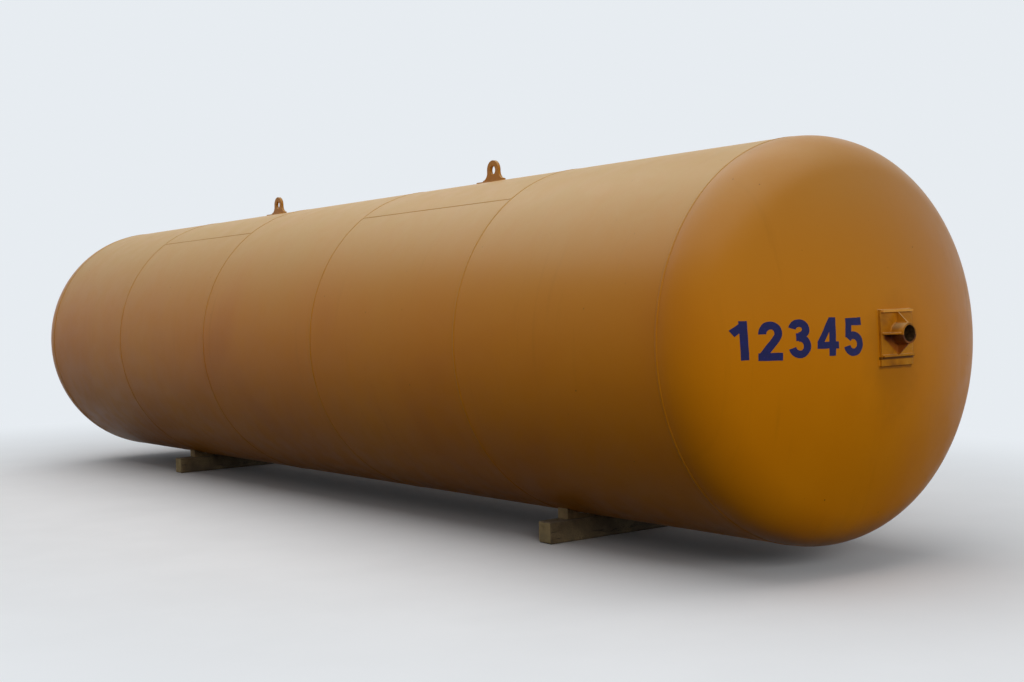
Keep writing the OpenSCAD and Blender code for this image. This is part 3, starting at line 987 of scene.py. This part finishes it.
figureLook = {"signs": "12345", "centres": (-0.966, -0.812, -0.650, -0.484, -0.318), "level": 1.384,
              "drops": (0.004, -0.004, 0.002, 0.006, -0.002), "tilts": (1.2, -0.8, 0.4, -1.0, 0.9),
              "height": 0.208, "middle": (0.31, 0.5), "brush": 0.20, "thinBrush": 0.18, "reach": 0.15,
              "levels": (1.25, 1.55), "cell": 0.025, "film": 0.0006, "overlap": 0.00007,
              "backDepth": 0.0009, "wander": 0.0022, "wanderScale": 26}
figureStrokes = {
    "1": [[(0.40, 0.0), (0.40, 1.0)], [(0.43, 0.90), (0.12, 0.69)]],
    "2": [bow((0.31, 0.70), 0.205, 0.20, 186, -38) + [(0.12, 0.14)], [(0.0, 0.10), (0.62, 0.10)]],
    "3": [bow((0.29, 0.735), 0.19, 0.165, 168, -96), bow((0.30, 0.31), 0.205, 0.21, 96, -168),
          [(0.20, 0.545), (0.34, 0.545)]],
    "4": [[(0.45, 0.0), (0.45, 1.0)], [(0.0, 0.28), (0.64, 0.28)], [(0.42, 0.93), (0.07, 0.32)]],
    "5": [[(0.075, 0.90), (0.58, 0.90)], [(0.175, 0.90), (0.14, 0.50)],
          bow((0.30, 0.32), 0.21, 0.22, 142, -168)],
}


def brushStroke(work, points, width, lift):  # a strip of even width along the points
    rims = []
    last = len(points) - 1
    for number, point in enumerate(points):
        way = Vector(points[min(number + 1, last)]) - Vector(points[max(number - 1, 0)])
        side = way.normalized().orthogonal() * width / 2
        rims.append([work.verts.new((point[0] + side.x * sign, lift, point[1] + side.y * sign))
                     for sign in (1, -1)])
    for first, second in zip(rims, rims[1:]):
        work.faces.new((first[0], second[0], second[1], first[1]))


def makeFigure(sign, centre, drop, tilt):
    look = figureLook
    work = bmesh.new()
    for number, stroke in enumerate(figureStrokes[sign]):
        thin = sign == "4" and number
        brushStroke(work, stroke, look["thinBrush" if thin else "brush"], look["overlap"] * number)
    turn = radians(tilt)
    for vertex in work.verts:
        across = (vertex.co.x - look["middle"][0]) * look["height"]
        level = (vertex.co.z - look["middle"][1]) * look["height"]
        vertex.co.x = centre + across * cos(turn) - level * sin(turn)
        vertex.co.z = look["level"] + drop + across * sin(turn) + level * cos(turn)
    cutAlong(work, Vector((1, 0, 0)), centre - look["reach"], centre + look["reach"], look["cell"])
    cutAlong(work, Vector((0, 0, 1)), *look["levels"], look["cell"])
    for vertex in work.verts:
        spot = Vector((vertex.co.x, 0, vertex.co.z)) * look["wanderScale"]
        wander = noise.noise(spot) * look["wander"]
        place, up = crownPlace(vertex.co.x + wander, vertex.co.z - wander)
        vertex.co = place + up * (look["film"] + vertex.co.y)
    back = bmesh.ops.extrude_face_region(work, geom=work.faces[:], use_keep_orig=True)["geom"]
    for vertex in [part for part in back if isinstance(part, bmesh.types.BMVert)]:
        vertex.co.y += look["backDepth"]
    bmesh.ops.recalc_face_normals(work, faces=work.faces)
    settle(endMesh(work, "figure" + sign, figurePaint))


for figure in zip(*(figureLook[name] for name in ("signs", "centres", "drops", "tilts"))):
    makeFigure(*figure)
print("figures painted")


# sleepers and wedges: the frame's solids, cut into a net, rounded and weathered
def makeTimberPiece(name, node, heart, look):
    work = bmesh.new()
    work.from_mesh(nodes[node].data)
    bmesh.ops.remove_doubles(work, verts=work.verts, dist=look["join"])
    flat = radians(look["flat"])
    bmesh.ops.dissolve_limit(work, angle_limit=flat, verts=work.verts, edges=work.edges)
    sharp = [edge for edge in work.edges
             if len(edge.link_faces) == 2 and edge.calc_face_angle(0) > radians(look["edge"])]
    bmesh.ops.bevel(work, geom=sharp, offset=look["corner"], segments=look["segments"],
                    affect="EDGES", profile=0.5)
    for axis, low, high in zip(Matrix.Identity(3), *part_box(node)):
        cutAlong(work, axis, low + look["net"], high - look["net"] / 2, look["net"])
    bmesh.ops.recalc_face_normals(work, faces=work.faces)
    work.normal_update()
    shifts = {}
    for vertex in work.verts:
        hollow = noise.noise(vertex.co * Vector(look["hollows"]))
        furrow = noise.noise(vertex.co * Vector(look["furrows"]) + Vector(look["apart"]))
        worn = look["wear"][0] + look["wear"][1] * hollow + look["wear"][2] * furrow
        shifts[vertex] = -vertex.normal * look["weather"] * max(0.0, min(1.0, worn))
    for vertex, shift in shifts.items():
        vertex.co += shift
    bmesh.ops.triangulate(work, faces=[face for face in work.faces if len(face.verts) > 4])
    for face in work.faces:
        face.smooth = True
    piece = endMesh(work, name, makeTimber(name.removesuffix("Timber") + "Wood", heart, look))
    piece.data.set_sharp_from_angle(angle=radians(look["sharp"]))
    settle(piece, [node])


hearts = {"sleeper": (0.03, -0.04), "left": (-0.09, 0.10), "right": (-0.09, 0.24)}  # off the middle, up


def heartOf(node, kind):
    low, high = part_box(node)
    return 0.0, (low.y + high.y) / 2 + hearts[kind][0], hearts[kind][1]


for place in ("front", "rear"):
    node = place + "_sleeper"
    makeTimberPiece(place + "SleeperTimber", node, heartOf(node, "sleeper"), sleeperLook)
    for side in ("left", "right"):
        node = place + "_wedge_" + side
        makeTimberPiece(place + side.capitalize() + "Wedge", node, heartOf(node, side), wedgeLook)
print("timber sawn")

# floor, light and camera
stageLook = {
    "pale": colour(246, 247, 248), "floorForLight": colour(66, 62, 58), "floorRadius": 90.0,
    "fadeShape": (1.0, 0.6, 1.0), "fade": (2.4, 7.0), "sky": (0.80, 0.84, 0.88, 1.0), "skyLight": 0.27,
    "overhead": {"watts": 900.0, "size": (13.0, 20.0), "place": (-2.0, 0.5, 9.5), "aim": (-2.0, 0.5, 0.0)},
    "front": {"watts": 690.0, "size": (10.0, 4.0), "place": (-4.5, -18.0, 5.4), "aim": (0.0, -5.0, 1.2)}}


def seenDirectly(tree):  # what the camera, a gloss or glass sees, and not what lights the object
    path = addNode("ShaderNodeLightPath", tree=tree).outputs
    return larger(larger(path["Is Camera Ray"], path["Is Glossy Ray"]), path["Is Transmission Ray"])


def makeFloor():
    look = stageLook
    material = bpy.data.materials.new("studioFloor")
    tree = emptyTree(material)
    vector = addNode("ShaderNodeTexCoord", tree=tree).outputs["Object"]
    seen = seenDirectly(tree)
    grain = spread(cloudy(vector, 1.2), 0.3, 0.7, 0.97, 1.0)
    tone = blendColour(seen, look["floorForLight"], blendColour(1.0, look["pale"], grain, "MULTIPLY"))
    distance = vectorCalc("LENGTH", vectorCalc("MULTIPLY", vector, look["fadeShape"]))
    plain = addNode("ShaderNodeBsdfDiffuse", {"Color": tone}).outputs[0]
    far = addNode("ShaderNodeEmission", {"Color": look["sky"]}, tree).outputs[0]
    fade = times(spread(distance, *look["fade"]), seen)
    mixed = addNode("ShaderNodeMixShader", {0: fade, 1: plain, 2: far})
    addNode("ShaderNodeOutputMaterial", {"Surface": mixed.outputs[0]})
    work = bmesh.new()
    bmesh.ops.create_circle(work, cap_ends=True, segments=96, radius=look["floorRadius"])
    endMesh(work, "studioFloor", material)


def makeLight():
    look = stageLook
    world = bpy.data.worlds.new("studioWorld")
    tree = emptyTree(world)
    strength = timesPlus(seenDirectly(tree), 1.0 - look["skyLight"], look["skyLight"])
    back = addNode("ShaderNodeBackground", {"Color": look["sky"], "Strength": strength})
    addNode("ShaderNodeOutputWorld", {"Surface": back.outputs[0]})
    scene.world = world
    for name in ("overhead", "front"):
        lamp = bpy.data.lights.new(name, "AREA")
        lamp.shape = "RECTANGLE"
        lamp.size, lamp.size_y = look[name]["size"]
        lamp.energy = look[name]["watts"]
        place, aim = Vector(look[name]["place"]), Vector(look[name]["aim"])
        lampObject = linkObject(name, lamp)
        lampObject.location = place
        lampObject.rotation_euler = (aim - place).to_track_quat("-Z", "Y").to_euler()
        lampObject.visible_glossy = name == "overhead"


cameraLook = {"place": (-6.40, -10.91, 1.645), "heading": 35.49, "pitch": -1.61, "roll": -1.98, "lens": 51.2}


def makeCamera():
    look = cameraLook
    heading, pitch, roll = (radians(look[name]) for name in ("heading", "pitch", "roll"))
    level = Vector((cos(heading), -sin(heading), 0))
    flat = Vector((sin(heading), cos(heading), 0))
    ahead = flat * cos(pitch) + Vector((0, 0, sin(pitch)))
    upright = level.cross(ahead)
    right = level * cos(roll) + upright * sin(roll)
    top = -level * sin(roll) + upright * cos(roll)
    data = bpy.data.cameras.new("photoView")
    data.lens = look["lens"]
    data.sensor_width = 36.0
    data.clip_end = 300.0
    scene.camera = linkObject("photoView", data)
    turn = Matrix((right, top, -ahead)).transposed().to_4x4()
    scene.camera.matrix_world = Matrix.Translation(look["place"]) @ turn


makeFloor()
makeLight()
makeCamera()
scene.view_settings.view_transform = "Standard"
print("stage set")
